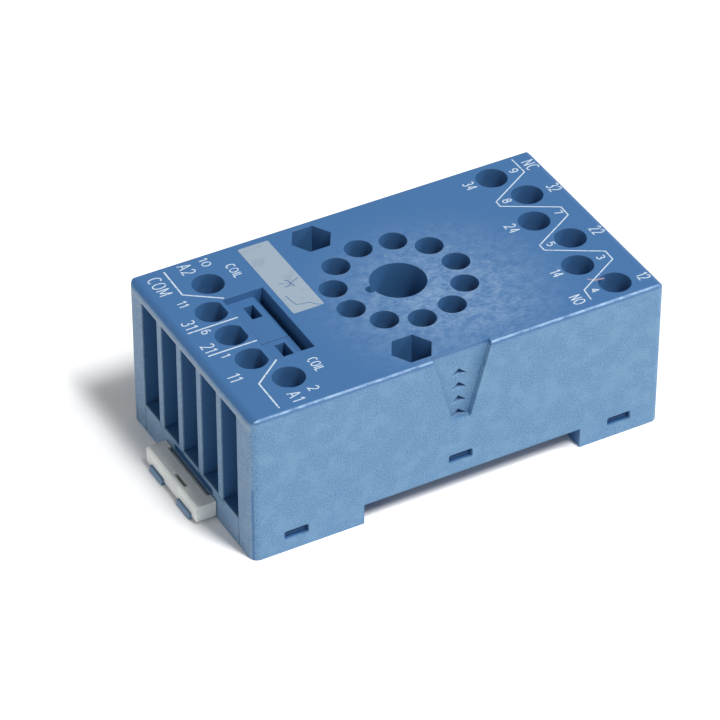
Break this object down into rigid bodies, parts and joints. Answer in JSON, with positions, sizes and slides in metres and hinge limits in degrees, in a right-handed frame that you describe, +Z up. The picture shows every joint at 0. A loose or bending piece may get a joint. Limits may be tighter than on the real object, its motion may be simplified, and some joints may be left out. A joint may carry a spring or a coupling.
{
  "type": "relay socket",
  "caption": "Plug-in relay socket: a pin circle round a keyed bore, screw clamps behind slots at both ends, and a sliding clip for a mounting rail.",
  "frame": {"origin": "under the middle of the whole part, clip included, on the plane that its feet stand on", "axes": "+X along the body from the rail clip's end to the far end, +Y across the body away from the long side that the picture shows, +Z up out of the face that the relay plugs into"},
  "size_m": [0.0706, 0.038, 0.025],
  "materials": {
    "housing_plastic": "fine satin, moulded",
    "base_plastic": "fine satin, moulded",
    "clip_plastic": "fine satin, moulded",
    "contact_brass": "plain, rolled",
    "cage_steel": "zinc plated",
    "screw_steel": "zinc plated"
  },
  "bodies": {
    "body": {"housing": "housing_plastic", "contact_carrier": "housing_plastic", "base_plate": "base_plastic", "contact_a2": "contact_brass", "contact_31": "contact_brass", "contact_21": "contact_brass", "contact_11": "contact_brass", "contact_a1": "contact_brass", "contact_34": "contact_brass", "contact_32": "contact_brass", "contact_24": "contact_brass", "contact_22": "contact_brass", "contact_14": "contact_brass", "contact_12": "contact_brass"},
    "rail_clip": {"rail_clip": "clip_plastic"},
    "screw_a2": {"screw_a2": "screw_steel"},
    "cage_a2": {"cage_a2": "cage_steel"},
    "screw_31": {"screw_31": "screw_steel"},
    "cage_31": {"cage_31": "cage_steel"},
    "screw_21": {"screw_21": "screw_steel"},
    "cage_21": {"cage_21": "cage_steel"},
    "screw_11": {"screw_11": "screw_steel"},
    "cage_11": {"cage_11": "cage_steel"},
    "screw_a1": {"screw_a1": "screw_steel"},
    "cage_a1": {"cage_a1": "cage_steel"},
    "screw_34": {"screw_34": "screw_steel"},
    "cage_34": {"cage_34": "cage_steel"},
    "screw_32": {"screw_32": "screw_steel"},
    "cage_32": {"cage_32": "cage_steel"},
    "screw_24": {"screw_24": "screw_steel"},
    "cage_24": {"cage_24": "cage_steel"},
    "screw_22": {"screw_22": "screw_steel"},
    "cage_22": {"cage_22": "cage_steel"},
    "screw_14": {"screw_14": "screw_steel"},
    "cage_14": {"cage_14": "cage_steel"},
    "screw_12": {"screw_12": "screw_steel"},
    "cage_12": {"cage_12": "cage_steel"}
  },
  "joints": [
    {"name": "rail_clip_slide", "type": "slide", "parent": "body", "child": "rail_clip", "axis": [-1, 0, 0], "range_m": [0, 0.003], "stiffness_N_per_m": 500, "springref_m": -0.002},
    {"name": "screw_a2_turn", "type": "hinge", "parent": "body", "child": "screw_a2", "pos_m": [-0.02215, 0.0123, 0.0186], "axis": [0, 0, -1], "range_deg": [0, 2018]},
    {"name": "cage_a2_lift", "type": "slide", "parent": "body", "child": "cage_a2", "axis": [0, 0, 1], "range_m": [0, 0.0028]},
    {"name": "screw_31_turn", "type": "hinge", "parent": "body", "child": "screw_31", "pos_m": [-0.02475, 0.00615, 0.0186], "axis": [0, 0, -1], "range_deg": [0, 2018]},
    {"name": "cage_31_lift", "type": "slide", "parent": "body", "child": "cage_31", "axis": [0, 0, 1], "range_m": [0, 0.0028]},
    {"name": "screw_21_turn", "type": "hinge", "parent": "body", "child": "screw_21", "pos_m": [-0.02475, 0, 0.0186], "axis": [0, 0, -1], "range_deg": [0, 2018]},
    {"name": "cage_21_lift", "type": "slide", "parent": "body", "child": "cage_21", "axis": [0, 0, 1], "range_m": [0, 0.0028]},
    {"name": "screw_11_turn", "type": "hinge", "parent": "body", "child": "screw_11", "pos_m": [-0.02475, -0.00615, 0.0186], "axis": [0, 0, -1], "range_deg": [0, 2018]},
    {"name": "cage_11_lift", "type": "slide", "parent": "body", "child": "cage_11", "axis": [0, 0, 1], "range_m": [0, 0.0028]},
    {"name": "screw_a1_turn", "type": "hinge", "parent": "body", "child": "screw_a1", "pos_m": [-0.02215, -0.0123, 0.0186], "axis": [0, 0, -1], "range_deg": [0, 2018]},
    {"name": "cage_a1_lift", "type": "slide", "parent": "body", "child": "cage_a1", "axis": [0, 0, 1], "range_m": [0, 0.0028]},
    {"name": "screw_34_turn", "type": "hinge", "parent": "body", "child": "screw_34", "pos_m": [0.0265, 0.01537, 0.0186], "axis": [0, 0, -1], "range_deg": [0, 2018]},
    {"name": "cage_34_lift", "type": "slide", "parent": "body", "child": "cage_34", "axis": [0, 0, 1], "range_m": [0, 0.0028]},
    {"name": "screw_32_turn", "type": "hinge", "parent": "body", "child": "screw_32", "pos_m": [0.029, 0.00923, 0.0186], "axis": [0, 0, -1], "range_deg": [0, 2018]},
    {"name": "cage_32_lift", "type": "slide", "parent": "body", "child": "cage_32", "axis": [0, 0, 1], "range_m": [0, 0.0028]},
    {"name": "screw_24_turn", "type": "hinge", "parent": "body", "child": "screw_24", "pos_m": [0.0265, 0.00308, 0.0186], "axis": [0, 0, -1], "range_deg": [0, 2018]},
    {"name": "cage_24_lift", "type": "slide", "parent": "body", "child": "cage_24", "axis": [0, 0, 1], "range_m": [0, 0.0028]},
    {"name": "screw_22_turn", "type": "hinge", "parent": "body", "child": "screw_22", "pos_m": [0.029, -0.00308, 0.0186], "axis": [0, 0, -1], "range_deg": [0, 2018]},
    {"name": "cage_22_lift", "type": "slide", "parent": "body", "child": "cage_22", "axis": [0, 0, 1], "range_m": [0, 0.0028]},
    {"name": "screw_14_turn", "type": "hinge", "parent": "body", "child": "screw_14", "pos_m": [0.0265, -0.00923, 0.0186], "axis": [0, 0, -1], "range_deg": [0, 2018]},
    {"name": "cage_14_lift", "type": "slide", "parent": "body", "child": "cage_14", "axis": [0, 0, 1], "range_m": [0, 0.0028]},
    {"name": "screw_12_turn", "type": "hinge", "parent": "body", "child": "screw_12", "pos_m": [0.029, -0.01537, 0.0186], "axis": [0, 0, -1], "range_deg": [0, 2018]},
    {"name": "cage_12_lift", "type": "slide", "parent": "body", "child": "cage_12", "axis": [0, 0, 1], "range_m": [0, 0.0028]}
  ],
  "couplings": [
    {"joint": "screw_a2_turn", "follows": "cage_a2_lift", "rad_per_m": 12566},
    {"joint": "screw_31_turn", "follows": "cage_31_lift", "rad_per_m": 12566},
    {"joint": "screw_21_turn", "follows": "cage_21_lift", "rad_per_m": 12566},
    {"joint": "screw_11_turn", "follows": "cage_11_lift", "rad_per_m": 12566},
    {"joint": "screw_a1_turn", "follows": "cage_a1_lift", "rad_per_m": 12566},
    {"joint": "screw_34_turn", "follows": "cage_34_lift", "rad_per_m": 12566},
    {"joint": "screw_32_turn", "follows": "cage_32_lift", "rad_per_m": 12566},
    {"joint": "screw_24_turn", "follows": "cage_24_lift", "rad_per_m": 12566},
    {"joint": "screw_22_turn", "follows": "cage_22_lift", "rad_per_m": 12566},
    {"joint": "screw_14_turn", "follows": "cage_14_lift", "rad_per_m": 12566},
    {"joint": "screw_12_turn", "follows": "cage_12_lift", "rad_per_m": 12566}
  ]
}
